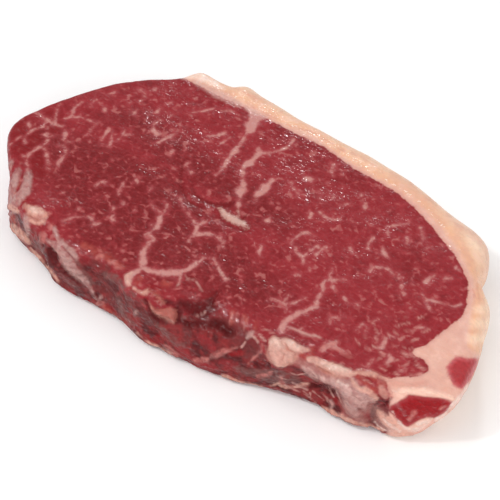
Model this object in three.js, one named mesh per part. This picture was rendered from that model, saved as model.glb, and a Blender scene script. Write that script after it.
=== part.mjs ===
// A raw sirloin steak lying on its cut face, in millimetres, +Z up.
// X runs along its length, and the thick edge of fat is on the +Y side.
// It is one solid: a slab of lean with its fat edge, drawn from a rim table.

import * as THREE from 'three';
import { mergeVertices } from 'three/addons/utils/BufferGeometryUtils.js';

// Driving sizes.
const LENGTH = 197;
const THICKNESS = 25;

// The places below are read on a plan that is 213 units long and 27 high.
const PLAN_LENGTH = 213;
const PLAN_HEIGHT = 27;
const UNIT = LENGTH / PLAN_LENGTH;
const RISE = THICKNESS / PLAN_HEIGHT;

// Cells of the block that the steak is bent from: along, across and up.
const CELLS = { along: 60, across: 24, up: 12 };
// The shoulder takes this share of the rings down the side.
const SHOULDER_SHARE = 1 / 3;
// The sole is this much smaller than the foot of the side, all round.
const FOOT_CHAMFER = 1.2;
// Between shoulder and foot the side swells out this far.
const SIDE_SWELL = 0.8;
// The side's facing is taken over this share of the outline either way, so that kinks don't fan it.
const FACING_REACH = 0.02;

// Each row is a place on the widest outline, going clockwise seen from above:
// x, y, how far in the shoulder starts, how deep it goes, how far the foot tucks in.
const LEAN_END = [
  [-90, -32.5, 3.5, 5, -3.5],
  [-97.5, -24.5, 3, 4, 4],
  [-104.6, -17.3, 3, 4, 4],
  [-109, -8.8, 3, 4, 4],
  [-106.4, 3.1, 3, 4, 4],
  [-99.5, 17, 3, 4, 4],
  [-91, 31.2, 3, 4, 3],
  [-79.5, 42.5, 3, 4, 3],
  [-70, 51, 4, 4, 3],
];
const FAT_EDGE = [
  [-66, 58.5, 4, 5, 3],
  [-56, 60, 7.5, 8, 3],
  [-50, 61, 8, 8, 3],
  [-46, 65, 11, 8, 3],
  [-38, 64.5, 10.5, 10, 3],
  [-20, 63.5, 9, 10, 3],
  [0, 62.5, 9, 10, 3],
  [20, 61, 9, 10, 3],
  [40, 58.5, 9, 10, 3],
  [54, 55, 10, 10, 3],
  [72, 50.5, 11, 9, 3],
];
const FLAP_END = [
  [78, 46, 10, 8, 3],
  [81.2, 39, 9, 8, 3],
  [82, 33.5, 7, 8, 4],
  [86, 27.5, 7, 8, 4],
  [92.5, 21.5, 7, 8, 4],
  [96.2, 11.2, 6, 8, 4],
  [99.5, 1, 5, 7, 5],
  [102, -9, 3.5, 5, 7.5],
  [103.6, -17.7, 2.5, 4, 10.5],
];
const FRONT_SIDE = [
  [102, -24.8, 3, 5, 11.5],
  [96, -29.5, 5, 10, 4.5],
  [88.5, -34, 5, 8, 1],
  [80, -37, 4, 7, 0],
  [70, -38.5, 4.5, 6, 0],
  [55, -39, 4, 6, 0],
  [41, -41.5, 5, 6, 0],
  [31, -45, 8, 10, 0],
  [20, -47.8, 12, 13, 0],
  [8, -49.1, 12, 14, 0],
  [-4, -50.2, 7.5, 9, 0],
  [-15, -51.2, 5, 5, 0],
  [-28, -48.3, 5, 5, 0],
  [-40, -49.3, 6.5, 6, 0],
  [-50, -50, 7, 7, 0],
  [-60, -48.4, 8, 6, 0],
  [-70, -43.6, 5, 6, 0],
  [-82, -39.5, 5, 6, 0],
];
const RIM = [...LEAN_END, ...FAT_EDGE, ...FLAP_END, ...FRONT_SIDE];

// The block's upright edges meet the outline at the first row of each side.
const CORNER_ROWS = {
  frontLeft: 0,
  backLeft: LEAN_END.length,
  backRight: LEAN_END.length + FAT_EDGE.length,
  frontRight: RIM.length - FRONT_SIDE.length,
};

// Lumps and hollows: place x, y, z, reach along, across and up, and rise (a hollow's is below 0).
const RELIEF = {
  fatKnob: [-72, -40, 24, 8, 5, 5, 2.5],
  cornerSkin: [-86, -35, 15, 4, 4, 10, 0.8],
  hollowUnderKnob: [-64, -46, 8, 7, 6, 6, -3.5],
  hollowAtFoot: [-52, -48, 5.5, 9, 6, 3, -2.5],
  skinPad: [-54, -47, 14, 9, 5, 5, 2],
  darkHollow: [-38, -47, 17, 7, 6, 8, -2],
  fatNode: [-21, -47, 26, 4, 4, 4, 1.5],
  tornFlap: [-6, -48, 19, 6, 4, 4, 3],
  underFlap: [-7, -50, 12, 5, 4, 3, -2.5],
  scoop: [8, -40, 24, 9, 6, 6, -2.5],
  fatNodule: [41, -41, 23, 6.5, 5, 8, 4.5],
  fatRidge: [66, -36, 24, 14, 4, 4, 2],
  hollowUnderRidge: [60, -39, 10, 9, 6, 5, -4.5],
  skinWeb: [71, -38, 10, 5, 5, 8, 1],
  cleft: [79, -36, 10, 3.5, 6, 12, -5],
  tendonPit: [-9, 0, 27, 7, 3, 6, -1.4],
  mutedFold: [-28, 1, 27, 12, 3, 6, -0.9],
  seamGroove: [-19, 26, 27, 2.5, 11, 6, -0.6],
  leanSwell: [45, 5, 27, 30, 24, 9, 0.9],
  shoulderSwell: [-62, 5, 27, 26, 26, 9, 0.7],
};

// A ripple across each of these is this much longer.
const CROSS_RIPPLE = 0.6;
// Slow ripples of the cut face and of the side: wave length, way and height.
const RIPPLES = [
  { length: 61, turn: 0.4, height: 0.45 },
  { length: 37, turn: 1.7, height: 0.3 },
  { length: 19, turn: 2.6, height: 0.18 },
];

// The outline is measured in this many steps between two rows.
const STEPS_PER_ROW = 20;
// Anything lower than this lies on the sole.
const SOLE_HEIGHT = 1e-4;

const LEAN_RED = 0x9b3c42;

const outline = new THREE.CatmullRomCurve3(
  RIM.map(([x, y]) => new THREE.Vector3(x * UNIT, y * UNIT, 0)), true);
const sections = new THREE.CatmullRomCurve3(
  RIM.map(([, , inset, drop, tuck]) => new THREE.Vector3(inset * UNIT, drop * RISE, tuck * UNIT)),
  true, 'catmullrom', 0.5);

// The share of the way round the outline at which a row of the table lies.
function shareOfRow(row) {
  const lengths = outline.getLengths(RIM.length * STEPS_PER_ROW);
  return lengths[row * STEPS_PER_ROW] / lengths[lengths.length - 1];
}

const CORNERS = {
  frontLeft: shareOfRow(CORNER_ROWS.frontLeft),
  backLeft: shareOfRow(CORNER_ROWS.backLeft),
  backRight: shareOfRow(CORNER_ROWS.backRight),
  frontRight: shareOfRow(CORNER_ROWS.frontRight),
};

// How far round the outline a place on each side of the block lies.
const lerp = THREE.MathUtils.lerp;
const onLeft = (v) => lerp(CORNERS.frontLeft, CORNERS.backLeft, v);
const onBack = (u) => lerp(CORNERS.backLeft, CORNERS.backRight, u);
const onRight = (v) => lerp(CORNERS.frontRight, CORNERS.backRight, v);
const onFront = (u) => lerp(1, CORNERS.frontRight, u);

// The way that the side faces at a share of the way round, seen from above.
function facingAt(share) {
  const behind = outline.getPointAt((share + 1 - FACING_REACH) % 1);
  const ahead = outline.getPointAt((share + FACING_REACH) % 1);
  const along = ahead.sub(behind).normalize();
  return new THREE.Vector3(-along.y, along.x, 0);
}

// A point of the side: share goes round the outline, down from the top arris (0) to the sole (1).
function sidePoint(share, down) {
  const t = outline.getUtoTmapping(share % 1);
  const widest = outline.getPoint(t);
  const { x: inset, y: drop, z: tuck } = sections.getPoint(t);
  const waist = THICKNESS - drop;
  let out;
  let height;
  if (down <= SHOULDER_SHARE) {
    const angle = (down / SHOULDER_SHARE) * Math.PI / 2;
    out = inset * (Math.sin(angle) - 1);
    height = waist + drop * Math.cos(angle);
  } else {
    const fall = (down - SHOULDER_SHARE) / (1 - SHOULDER_SHARE);
    out = SIDE_SWELL * Math.sin(Math.PI * fall) - tuck * fall ** 1.5;
    height = waist * (1 - fall);
  }
  if (down === 1) out -= FOOT_CHAMFER;
  return widest.addScaledVector(facingAt(share), out).setZ(height);
}

// A point inside the ring that lies that far down the side, blended from its four sides.
function patchPoint(u, v, down) {
  const side = (share) => sidePoint(share, down);
  const point = side(onFront(u)).multiplyScalar(1 - v);
  point.addScaledVector(side(onBack(u)), v);
  point.addScaledVector(side(onLeft(v)), 1 - u);
  point.addScaledVector(side(onRight(v)), u);
  point.addScaledVector(side(CORNERS.frontLeft), -(1 - u) * (1 - v));
  point.addScaledVector(side(CORNERS.frontRight), -u * (1 - v));
  point.addScaledVector(side(CORNERS.backLeft), -(1 - u) * v);
  point.addScaledVector(side(CORNERS.backRight), -u * v);
  return point;
}

function shareRound(u, v) {
  if (u === 0) return onLeft(v);
  if (u === 1) return onRight(v);
  return v === 0 ? onFront(u) : onBack(u);
}

// Bends the block's skin onto the steak.
function bendBlock() {
  const block = new THREE.BoxGeometry(1, 1, 1, CELLS.along, CELLS.across, CELLS.up);
  block.deleteAttribute('normal');
  block.deleteAttribute('uv');
  const skin = mergeVertices(block);
  const place = skin.attributes.position;
  for (let i = 0; i < place.count; i += 1) {
    const u = place.getX(i) + 0.5;
    const v = place.getY(i) + 0.5;
    const down = 0.5 - place.getZ(i);
    const onCutFace = down === 0 || down === 1;
    const point = onCutFace ? patchPoint(u, v, down) : sidePoint(shareRound(u, v), down);
    place.setXYZ(i, point.x, point.y, point.z);
  }
  skin.computeVertexNormals();
  return skin;
}

// How far the lumps, hollows and ripples lift the skin at a point.
function liftAt(x, y, z) {
  let lift = 0;
  for (const [px, py, pz, along, across, up, rise] of Object.values(RELIEF)) {
    const dx = (x / UNIT - px) / along;
    const dy = (y / UNIT - py) / across;
    const dz = (z / RISE - pz) / up;
    lift += rise * UNIT * Math.exp(-(dx * dx + dy * dy + dz * dz));
  }
  for (const { length, turn, height } of RIPPLES) {
    const wave = 2 * Math.PI / length;
    const slant = x * Math.cos(turn) + y * Math.sin(turn);
    lift += height * Math.sin(wave * slant + turn) * Math.cos(wave * CROSS_RIPPLE * (y - z) + turn * 2);
  }
  return lift;
}

// Raises and sinks the skin along its normals, and keeps the sole flat.
function raiseRelief(skin) {
  const place = skin.attributes.position;
  const normal = skin.attributes.normal;
  for (let i = 0; i < place.count; i += 1) {
    const [x, y, z] = [place.getX(i), place.getY(i), place.getZ(i)];
    const [nx, ny, nz] = [normal.getX(i), normal.getY(i), normal.getZ(i)];
    const onSole = z < SOLE_HEIGHT;
    const isFlat = nz < -0.99;
    if (onSole && isFlat) continue;
    const lift = liftAt(x, y, z);
    const height = onSole ? 0 : z + nz * lift;
    place.setXYZ(i, x + nx * lift, y + ny * lift, height);
  }
}

// Puts the origin under the middle of the steak, on the surface it lies on.
function centre(skin) {
  skin.computeBoundingBox();
  const middle = skin.boundingBox.getCenter(new THREE.Vector3());
  skin.translate(-middle.x, -middle.y, 0);
}

function makeSteak() {
  const skin = bendBlock();
  raiseRelief(skin);
  centre(skin);
  skin.computeVertexNormals();
  const lean = new THREE.MeshStandardMaterial({ color: LEAN_RED, roughness: 0.45, metalness: 0 });
  const steak = new THREE.Mesh(skin, lean);
  steak.name = 'steak';
  return steak;
}

const group = new THREE.Group();
group.name = 'raw-sirloin-steak';
group.add(makeSteak());

export default group;
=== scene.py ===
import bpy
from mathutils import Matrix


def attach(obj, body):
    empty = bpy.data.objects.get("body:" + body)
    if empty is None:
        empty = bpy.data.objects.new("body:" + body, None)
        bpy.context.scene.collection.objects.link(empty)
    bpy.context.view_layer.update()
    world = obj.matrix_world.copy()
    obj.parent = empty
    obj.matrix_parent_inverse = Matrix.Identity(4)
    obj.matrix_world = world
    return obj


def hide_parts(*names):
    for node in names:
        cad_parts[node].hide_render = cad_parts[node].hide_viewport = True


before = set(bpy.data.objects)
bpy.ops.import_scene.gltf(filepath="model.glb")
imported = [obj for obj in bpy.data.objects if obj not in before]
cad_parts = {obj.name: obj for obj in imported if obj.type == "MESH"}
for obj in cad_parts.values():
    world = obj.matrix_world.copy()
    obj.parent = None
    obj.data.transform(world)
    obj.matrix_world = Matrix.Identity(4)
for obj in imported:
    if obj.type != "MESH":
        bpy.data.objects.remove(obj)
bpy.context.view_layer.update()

import math
from types import SimpleNamespace

import bmesh
import bpy
import numpy as np
from mathutils import Vector, noise
from mathutils.bvhtree import BVHTree

bl_info = {
    "name": "Raw sirloin steak",
    "version": (1, 0, 0),
    "blender": (4, 5, 0),
    "location": "3D View > Sidebar > Steak",
    "description": "Builds a raw sirloin steak with its marbling, fat edge and skin",
    "category": "Add Mesh",
}

# Places are read on a plan of the steak, 213 units long and 27 high, seen from straight above.
UNIT = 0.197 / 213
RISE = 0.025 / 27
TOP = 27
# The frame's origin on that plan, in metres.
MIDDLE = Vector((-0.002489, 0.006074, 0))

# The photograph's camera: which way it looks, from how many plan units away, and at what.
AZIMUTH = 35
ELEVATION = 50
UNITS_AWAY = 700
DISTANCE = UNITS_AWAY * UNIT
AIM = Vector((0, 0, TOP / 2 * RISE)) - MIDDLE

# The picture's side and half of it in the picture's own points, how many of them a plan unit takes up where
# the camera aims, and how many a radian of view takes up.
PICTURE = 500
HALF = PICTURE / 2
POINTS_PER_UNIT = 2.62
FOCUS = UNITS_AWAY * POINTS_PER_UNIT

# The camera's sensor and lens, in millimetres.
SENSOR = 36
LENS = SENSOR * FOCUS / PICTURE


def linear(code):
    """The linear colour of an sRGB hex code."""
    parts = [int(code[i:i + 2], 16) / 255 for i in (0, 2, 4)]
    return tuple(p / 12.92 if p <= 0.04045 else ((p + 0.055) / 1.055) ** 2.4 for p in parts)


# The outline of everything outside the eye of lean: the fat edge and the narrow end.
FAT_AREA = (
    (-68.5, 50), (-60, 50), (-50, 49.5), (-40, 50.3), (-25, 50.5), (0, 50.3), (10, 48.7), (17, 47.2),
    (25, 47), (36, 46.3), (45, 43.8), (54, 40.3), (60, 37.3), (66, 34.3), (70, 32.2), (75, 28.8),
    (80, 24.6), (83, 20.5), (85, 16), (87, 11), (87, 8), (86, 3), (84, -5), (83, -9.5), (80.7, -13),
    (81, -15.2), (83, -15.8), (86, -15.3), (88.5, -16.5), (89.6, -19), (88.5, -22), (86.5, -24),
    (83.5, -26), (81, -28.8), (79.5, -30.5), (82, -33), (85, -36), (90, -60), (130, -60), (130, 90),
    (-68.5, 90),
)

# Each stroke is a row of places (x, y, full width) on the cut face.
SEAMS = (
    # the wedge of fat at the back edge and the two long seams that run down from it
    ((-31.5, 51.5, 9.5), (-31, 48, 6), (-30.2, 44.5, 5), (-29, 42, 4.5), (-30, 40, 1.6)),
    ((-30, 41, 1.4), (-28.6, 37, 1.2), (-28, 33.5, 1.3), (-27.7, 30.5, 1.8), (-26.8, 28.5, 2.8),
     (-27.2, 26, 1.5), (-26.6, 23, 1.3), (-26, 20, 1.2), (-25.6, 17, 1.2), (-26, 14, 0.8)),
    ((-20.5, 35, 1), (-19, 33.2, 2.4), (-18.6, 30, 1.8), (-19, 27, 4), (-20, 24, 1.8), (-18.3, 21, 1.8),
     (-15.2, 17.2, 1.7), (-12.8, 14.5, 1.8), (-13.3, 12.6, 4), (-11.4, 9.5, 1.3), (-10.4, 7, 1.3),
     (-8.5, 4.5, 0.8), (-7, 1.5, 0.8)),
    ((-18.5, 33.6, 1.6), (-16, 35, 1.4), (-14, 38, 1.3), (-12.2, 41, 1.5), (-11.6, 44, 1.6), (-12, 47, 1)),
    ((-6.6, 24.5, 1.5), (-6.6, 21.5, 3.4), (-6.4, 18, 4), (-6.8, 15, 3), (-6, 12.5, 1), (-5.6, 11, 0.6)),
    # the forked seam that comes up from the front edge
    ((-31, -12.5, 1.2), (-31, -15.5, 2.2), (-29.3, -17.5, 2), (-28.8, -20, 2.6), (-29.2, -22.5, 1.4),
     (-28.5, -24.5, 1.4), (-26.3, -25.5, 1.4), (-26.2, -29, 1.8), (-26, -31.5, 2.6), (-24.5, -34, 3.2),
     (-22.5, -37, 2.6), (-21.5, -39.5, 2.4), (-22, -42, 2.6), (-22.5, -45, 3.6), (-21.5, -47.5, 3)),
    ((-31.5, -20, 1), (-29, -20, 1.4)),
    ((-29.8, -25.5, 0.9), (-29, -23.5, 1.2)),
    ((-32.5, -9, 1.4), (-31.5, -10.5, 1)),
    ((-21.5, -39, 2), (-18, -38.8, 1.8), (-15, -37.5, 2.2), (-11.5, -35.5, 3), (-9, -33, 3), (-7, -30, 2),
     (-6, -27, 2.2), (-5.6, -24, 2), (-5.3, -21.5, 1)),
    ((-8.5, -33.5, 1.2), (-7, -34.5, 0.8), (-6, -37, 0.6)),
    ((-2.5, -20, 1.2), (-0.5, -21.5, 1.4), (2, -22.8, 1.3), (5, -24.5, 1.2), (8, -26, 0.8)),
    # the hook and the thin seam that leads to it
    ((-15.3, -7, 1), (-16, -9, 1.4), (-16.5, -11, 1.5), (-15.5, -13, 1.5), (-14.8, -15.5, 1.6),
     (-13.5, -13.5, 2), (-11.5, -12, 1.5), (-8.5, -11, 1), (-6, -11, 0.9), (-4, -12, 0.8), (-2, -14, 0.8)),
    ((-30, -3, 2), (-28, -5, 1), (-25.5, -6.8, 1), (-22.5, -8, 0.9), (-19, -9.8, 1), (-16.5, -11, 1)),
    ((-15, -17, 0.8), (-14.5, -19, 1)),
    # the seam in the right half and its arms
    ((36.5, 1, 0.6), (37.5, -2, 1), (38.5, -4, 2.2), (37.5, -6, 1.4), (38.2, -8.5, 1.6), (39.5, -10, 1.2),
     (39.6, -13, 1.2), (40.5, -15.5, 1.5), (42, -17.5, 2), (40.2, -19.5, 2), (39, -22, 2.2),
     (37.8, -24.5, 2.4), (36.8, -27, 2.8), (36.5, -30, 2.4), (36.5, -32.5, 2), (38.5, -34, 2)),
    ((38.5, -4, 1.4), (41, -2.5, 1.6), (43.5, -1, 1.2)),
    ((40.5, -4.5, 0.8), (41.5, -6.5, 0.9), (43.5, -8, 1)),
    ((26, -24, 0.8), (28, -23, 1), (30.5, -22.4, 1.1), (33.5, -24, 1)),
    ((33, -22, 0.8), (34, -20, 0.9), (36, -16.5, 1)),
    ((30.3, -22, 0.8), (30.5, -19, 1.2)),
    ((38, -30.7, 1), (42, -30.5, 0.8), (45, -30, 0.9), (49.5, -28.3, 0.9)),
    ((42, -30, 1), (43, -28, 0.8)),
    ((54, -33, 1.5), (54.8, -31, 2), (55.7, -28.5, 2.4), (56.5, -26.8, 1.2)),
    ((57, -29.5, 0.8), (59, -28.8, 0.9), (61, -28.8, 0.8)),
    # rings, arcs and spots of the right half
    ((22, 9.8, 0.9), (19.5, 10.3, 1.6), (17.6, 8.8, 1.2), (17, 6, 1), (16.5, 3.5, 1.1), (17.5, 2, 1)),
    ((29, 8.5, 1), (28, 6, 1), (28, 3, 1.2)),
    ((26, 6.5, 1.6), (25.3, 4, 1), (24.8, 1.5, 1), (24.5, -0.5, 1.8), (21.5, -0.5, 1), (19.5, 1.2, 1.4)),
    ((24.8, -0.5, 1), (26, -3, 1)),
    ((29.5, -4, 1.6), (29.8, -4.6, 1)),
    ((28.5, -8.5, 0.9), (27, -10, 1.2)),
    ((9, -6, 1.4), (9.8, -8, 0.9), (11, -9.5, 0.7)),
    ((3.3, 8.3, 1), (3.6, 6.5, 2.6)),
    ((3.2, 32.6, 2.2), (5.2, 32.8, 2.6)),
    ((17.3, 21, 1.2), (20, 20.3, 1.2), (23, 20.8, 1.3), (25.3, 22.5, 1.3), (25.2, 23.8, 0.8)),
    ((15, 19, 1.2), (16, 16.8, 1.4)),
    ((48.5, 8, 1.6), (48.8, 10.3, 1.1), (51, 11.8, 1.3), (54, 12.3, 1.3), (56.8, 11.2, 1)),
    ((59, 11, 0.8), (58, 13, 0.8)),
    ((46, 19.5, 1.4), (48, 18.2, 1.6), (50, 17.3, 0.9)),
    ((41, 22, 1), (40.8, 18.5, 0.8), (42, 16.5, 0.8)),
    ((42, 30, 1.2), (44.5, 31.8, 1.1), (46.5, 34.5, 0.9), (48, 36, 0.8)),
    ((44, 28, 0.8), (45, 26.5, 1)),
    ((52.5, 36.5, 1.1), (54.5, 34.5, 1.2), (56.5, 32, 0.9)),
    ((51.2, 29.5, 1.4), (52.5, 27, 0.9)),
    ((8, 45, 1.2), (9, 42, 1.4), (11, 40, 1)),
    ((25.3, 38, 1.6), (25.6, 37.4, 1)),
    ((29, 34.5, 0.9), (30.5, 32.5, 1.1)),
    ((23.5, 30.8, 1.4), (22, 28, 0.9)),
    ((11.5, 29.5, 0.9), (14, 27, 0.8)),
    ((0, 27.5, 1), (2.5, 25.5, 0.9), (5.5, 24, 0.8)),
    ((16.5, 32, 1), (17.5, 30, 0.8)),
    ((36, 13, 0.8), (38.5, 11.5, 0.9)),
    ((69, 19.5, 1), (68.2, 17, 1.4), (68, 15.5, 2.2)),
    ((73, 20.5, 1.6), (74.5, 21.8, 1)),
    ((73.5, 28, 1.6), (73.8, 27.2, 1)),
    ((61.5, 9.3, 1), (63, 7, 1.4), (64.5, 5.5, 0.8)),
    ((70, 9.5, 0.9), (72.5, 8.3, 1.3), (76, 9.5, 0.8), (80, 10.3, 0.9), (82.5, 11.5, 0.8), (84, 14, 0.8)),
    ((72.5, 8.3, 1), (74, 6.5, 1), (76, 4.8, 0.7)),
    ((77.5, -4, 1.2), (78.5, -3, 0.8)),
    ((70, -15, 1), (70.5, -17, 1.2), (70.8, -19.5, 1.6)),
    ((69.5, -12.8, 0.9), (71.5, -13, 1)),
    ((75, -20.5, 1), (76.5, -22, 1.4), (75.8, -24, 1)),
    ((62, -14.8, 1), (62.5, -17, 1)),
    ((59.5, -15, 1), (59, -18, 0.8)),
    ((71, -26, 1.4), (71.5, -29.5, 0.9)),
    ((62, -11, 0.9), (63.5, -9.5, 0.7)),
    ((82, -23.8, 1.8), (81.2, -24.2, 1)),
    ((79.5, -17, 1), (81, -16.5, 1), (83, -16, 0.8)),
    ((47.5, -8.3, 1), (50, -9, 0.8), (54, -8, 0.8)),
    ((50, -21, 0.6), (49, -19, 0.8), (51, -15.5, 0.8)),
    # the net of thin seams at the left end
    ((-104.5, 1, 1), (-99, 0, 1.5), (-95, -0.7, 1.8), (-91, 0.6, 1.2)),
    ((-98.5, 7, 0.7), (-96, 3.5, 1), (-94.5, 1, 1)),
    ((-97, -1, 1), (-97, -4, 1.2), (-98.5, -6.5, 1), (-99.5, -9, 1), (-99, -12, 0.7), (-97, -15, 0.7)),
    ((-102.5, -6, 1.6), (-100.5, -7.5, 1)),
    ((-93.5, -6.8, 1.6), (-91.5, -7.5, 1.6), (-90.3, -9.8, 1.3), (-90.2, -12, 1.2), (-91.3, -14, 1),
     (-91.8, -17.5, 1), (-91.5, -20.5, 1), (-90, -22.7, 1), (-88.3, -24, 0.9), (-87, -26, 0.8)),
    ((-91.2, -7, 1), (-90.5, -5.8, 1.2)),
    ((-90.2, -12, 1.2), (-87.5, -14, 1), (-85, -15.8, 1), (-83, -17.5, 1), (-81.5, -20, 1),
     (-79.8, -20.6, 0.8)),
    ((-85.7, -8, 1), (-83.5, -7, 0.9), (-82, -8, 0.9), (-80.6, -10, 1), (-79.8, -13, 1),
     (-80, -15.5, 0.8), (-78, -17.5, 0.7)),
    ((-91.3, -20.3, 1), (-93, -21, 0.7)),
    ((-88, -1, 1.4), (-86.5, -3, 1.4), (-85.5, -5, 1), (-83, -4.5, 0.9)),
    ((-100.7, -13, 0.6), (-101, -19, 0.6)),
    ((-92.8, 15, 1.2), (-92.8, 11, 0.9), (-91, 7.2, 0.8)),
    ((-92.5, 4.2, 0.8), (-90.5, 6.7, 1), (-87.5, 8.5, 0.8), (-84, 9.3, 1), (-80.5, 9.5, 0.9),
     (-80.3, 6, 0.9), (-79.8, 2.5, 0.9)),
    # flecks and short seams of the left half
    ((-89.3, 19.5, 1.2), (-88.5, 17, 1), (-88, 15.5, 0.7)),
    ((-82.8, 17.8, 1.3), (-82.6, 17, 1)),
    ((-72, 22.8, 1.9), (-71.8, 21.8, 1.4)),
    ((-61.3, 21, 1), (-59.5, 19, 2), (-57.5, 18, 2.4), (-56.6, 19.5, 0.8)),
    ((-52.3, 22, 1.4), (-53, 19, 2), (-54.5, 15, 1.2)),
    ((-69.5, 13.5, 0.7), (-68.7, 10.5, 1), (-68, 7, 0.8)),
    ((-65, 12.3, 0.7), (-68.2, 10.5, 0.8)),
    ((-72, 8.5, 0.7), (-70, 5.2, 0.8), (-69, 2.6, 1.5)),
    ((-74.5, 10, 1), (-74, 6.5, 0.8), (-73, 3, 0.9), (-71.5, 1.7, 0.8)),
    ((-73.3, 38, 1.7), (-73, 37.2, 1)),
    ((-64, 34.5, 1.2), (-63.5, 36.2, 0.7)),
    ((-79, 34.7, 0.8), (-75.5, 33.7, 0.8), (-73.2, 31.5, 1), (-74.5, 29.5, 0.7)),
    ((-65.5, 31, 0.7), (-64.6, 28, 1.2)),
    ((-59, 31, 1.2), (-59.2, 29.6, 0.9)),
    ((-77, 26, 1), (-77.2, 25.2, 0.8)),
    ((-85.5, 27.2, 1), (-87, 25, 0.9)),
    ((-61, 25, 0.8), (-61.5, 22, 0.8)),
    ((-52.5, -10, 1.2), (-51.8, -12.5, 1), (-50.3, -15.5, 0.7)),
    ((-46.8, -17.6, 1.4), (-46.3, -18.6, 1)),
    ((-48, -22, 1), (-47.3, -24, 0.8)),
    ((-46, -24.5, 0.8), (-45.8, -26.5, 0.9), (-43.5, -27, 0.7)),
    ((-60.3, -17, 0.8), (-60, -14, 0.8), (-58, -13, 1)),
    ((-49, -33, 1.4), (-47.5, -31, 0.8)),
    ((-59.5, -38, 0.8), (-57.5, -34.5, 0.7), (-55.5, -32.5, 0.8), (-53, -30.8, 1), (-49.5, -31.5, 0.8)),
    ((-38, -11.5, 0.9), (-35, -13.3, 0.9), (-32, -13, 0.9)),
    ((-42.5, -5.6, 1.3), (-42.2, -6.8, 0.8)),
    ((-49.5, -5.5, 1), (-48, -6.5, 0.7)),
    ((-47.5, 42.5, 1), (-50, 39, 1.1), (-53, 36, 0.8)),
    ((-40, 46, 1.3), (-44, 43.5, 0.9)),
    ((-36, 34.5, 1), (-37.7, 31.5, 1.1), (-41, 28.8, 0.9)),
    ((-33, 33, 0.9), (-34, 29, 0.8)),
    ((-38.5, 12.5, 1), (-34.5, 9.5, 1)),
    ((-47.5, 15, 0.8), (-46.5, 12, 0.7)),
)

# Creases in the middle of the cut face and the undercut of the tendon: sunk into the surface, and painted
# dark red as wet lean with painted shade in them.
CREASES = (
    ((-40.5, 12.5, 0.6), (-38.5, 8.5, 0.9), (-36, 4.5, 1), (-33, 1.2, 1), (-30, -1.2, 1.1),
     (-27, -3.2, 1.4), (-24, -3.6, 1.6), (-20.5, -2.6, 0.8)),
    ((-33, 7, 0.6), (-29.5, 3.8, 0.9), (-26.5, 1.2, 1.1), (-22.5, 0.4, 1.6), (-18.5, 1.4, 2.2),
     (-15.5, 2.7, 2.4), (-13, 4.5, 1.8), (-12.5, 7, 1)),
    ((-12, -3.2, 0.7), (-8, -3.9, 0.7), (-4, -3.4, 0.9), (-0.8, -2.8, 1.1)),
    ((-5, 1, 0.8), (-4.8, 4.5, 0.7)),
    ((8.2, -31, 0.8), (8.8, -34, 1.1), (9.2, -37.5, 1.2)),
)

# The whitish end of tendon that lies in the pit.
TENDONS = (
    ((-15.3, 1.2, 1.4), (-13, 0.4, 2.6), (-10, -0.8, 3.4), (-6.5, -1, 3.8), (-3.5, -0.6, 3.6),
     (-1, -1, 2), (0, -1.2, 0.8)),
    ((-8.5, 4.5, 0.7), (-6.5, 1, 1.2)),
)

# Wet, deep red stretches of lean on the cut face.
DEEP_TOP = (
    ((-104, -8, 8), (-99, -12, 12), (-92, -17, 13), (-83, -23, 11)),
    ((-98, 4, 6), (-92, -2, 6)),
    ((-89, -17, 5), (-84, -19, 4), (-79, -20, 3)),
    ((-66, 47.5, 1.5), (-55, 47.5, 2), (-46, 47, 2)),
    ((78, -25, 3), (78.5, -28, 2)),
    ((-24, 48, 2), (-12, 48.5, 2), (0, 48.5, 2)),
)

# Duller, browner lean on the cut face.
DULL_TOP = (
    ((-95, -10, 16), (-62, -14, 34), (-44, -18, 46), (-20, -22, 40), (5, -24, 26), (24, -22, 14)),
    ((-70, 20, 10), (-50, 16, 16), (-30, 12, 12), (-6, 12, 14), (8, 10, 10)),
)

# Two islands of lean in the fat of the narrow end: each one's outline in points of the picture, and its
# colour at the rim and in the middle.
ISLANDS = (
    (((456, 357), (462, 357), (468, 359), (474, 358), (478, 359), (477, 365), (474, 372), (469, 381),
      (465, 385), (462, 389), (457, 387), (453, 384), (451, 380), (448, 374), (447, 367), (450, 363)),
     "b9595c", "a53236"),
    (((401, 400), (405, 398), (409, 395), (415, 395.5), (425, 397), (438, 397.5), (447, 399), (453, 401),
      (450, 407), (447, 412), (440, 416), (434, 418), (427, 417), (421, 419), (414, 423), (408, 427),
      (403, 425), (398, 421), (393, 415), (389, 410), (391, 406), (396, 403)), "983539", "8d0c13"),
)

# The rounded outside of the fat edge, outlined in points of the picture and beyond them.
OUTSIDE = (
    (180, 60), (186, 78), (195, 80), (203, 84), (214, 90), (222, 94), (232, 98), (242, 101), (252, 105),
    (260, 110), (276, 120), (290, 127), (303, 131), (312, 135), (322, 142), (342, 156), (362, 169),
    (378, 178), (398, 189), (418, 203), (428, 212), (447, 234), (455, 243), (466, 262), (474, 280),
    (476, 292), (473, 310), (470, 330), (468, 345), (478, 354), (520, 356), (520, 60),
)

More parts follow.
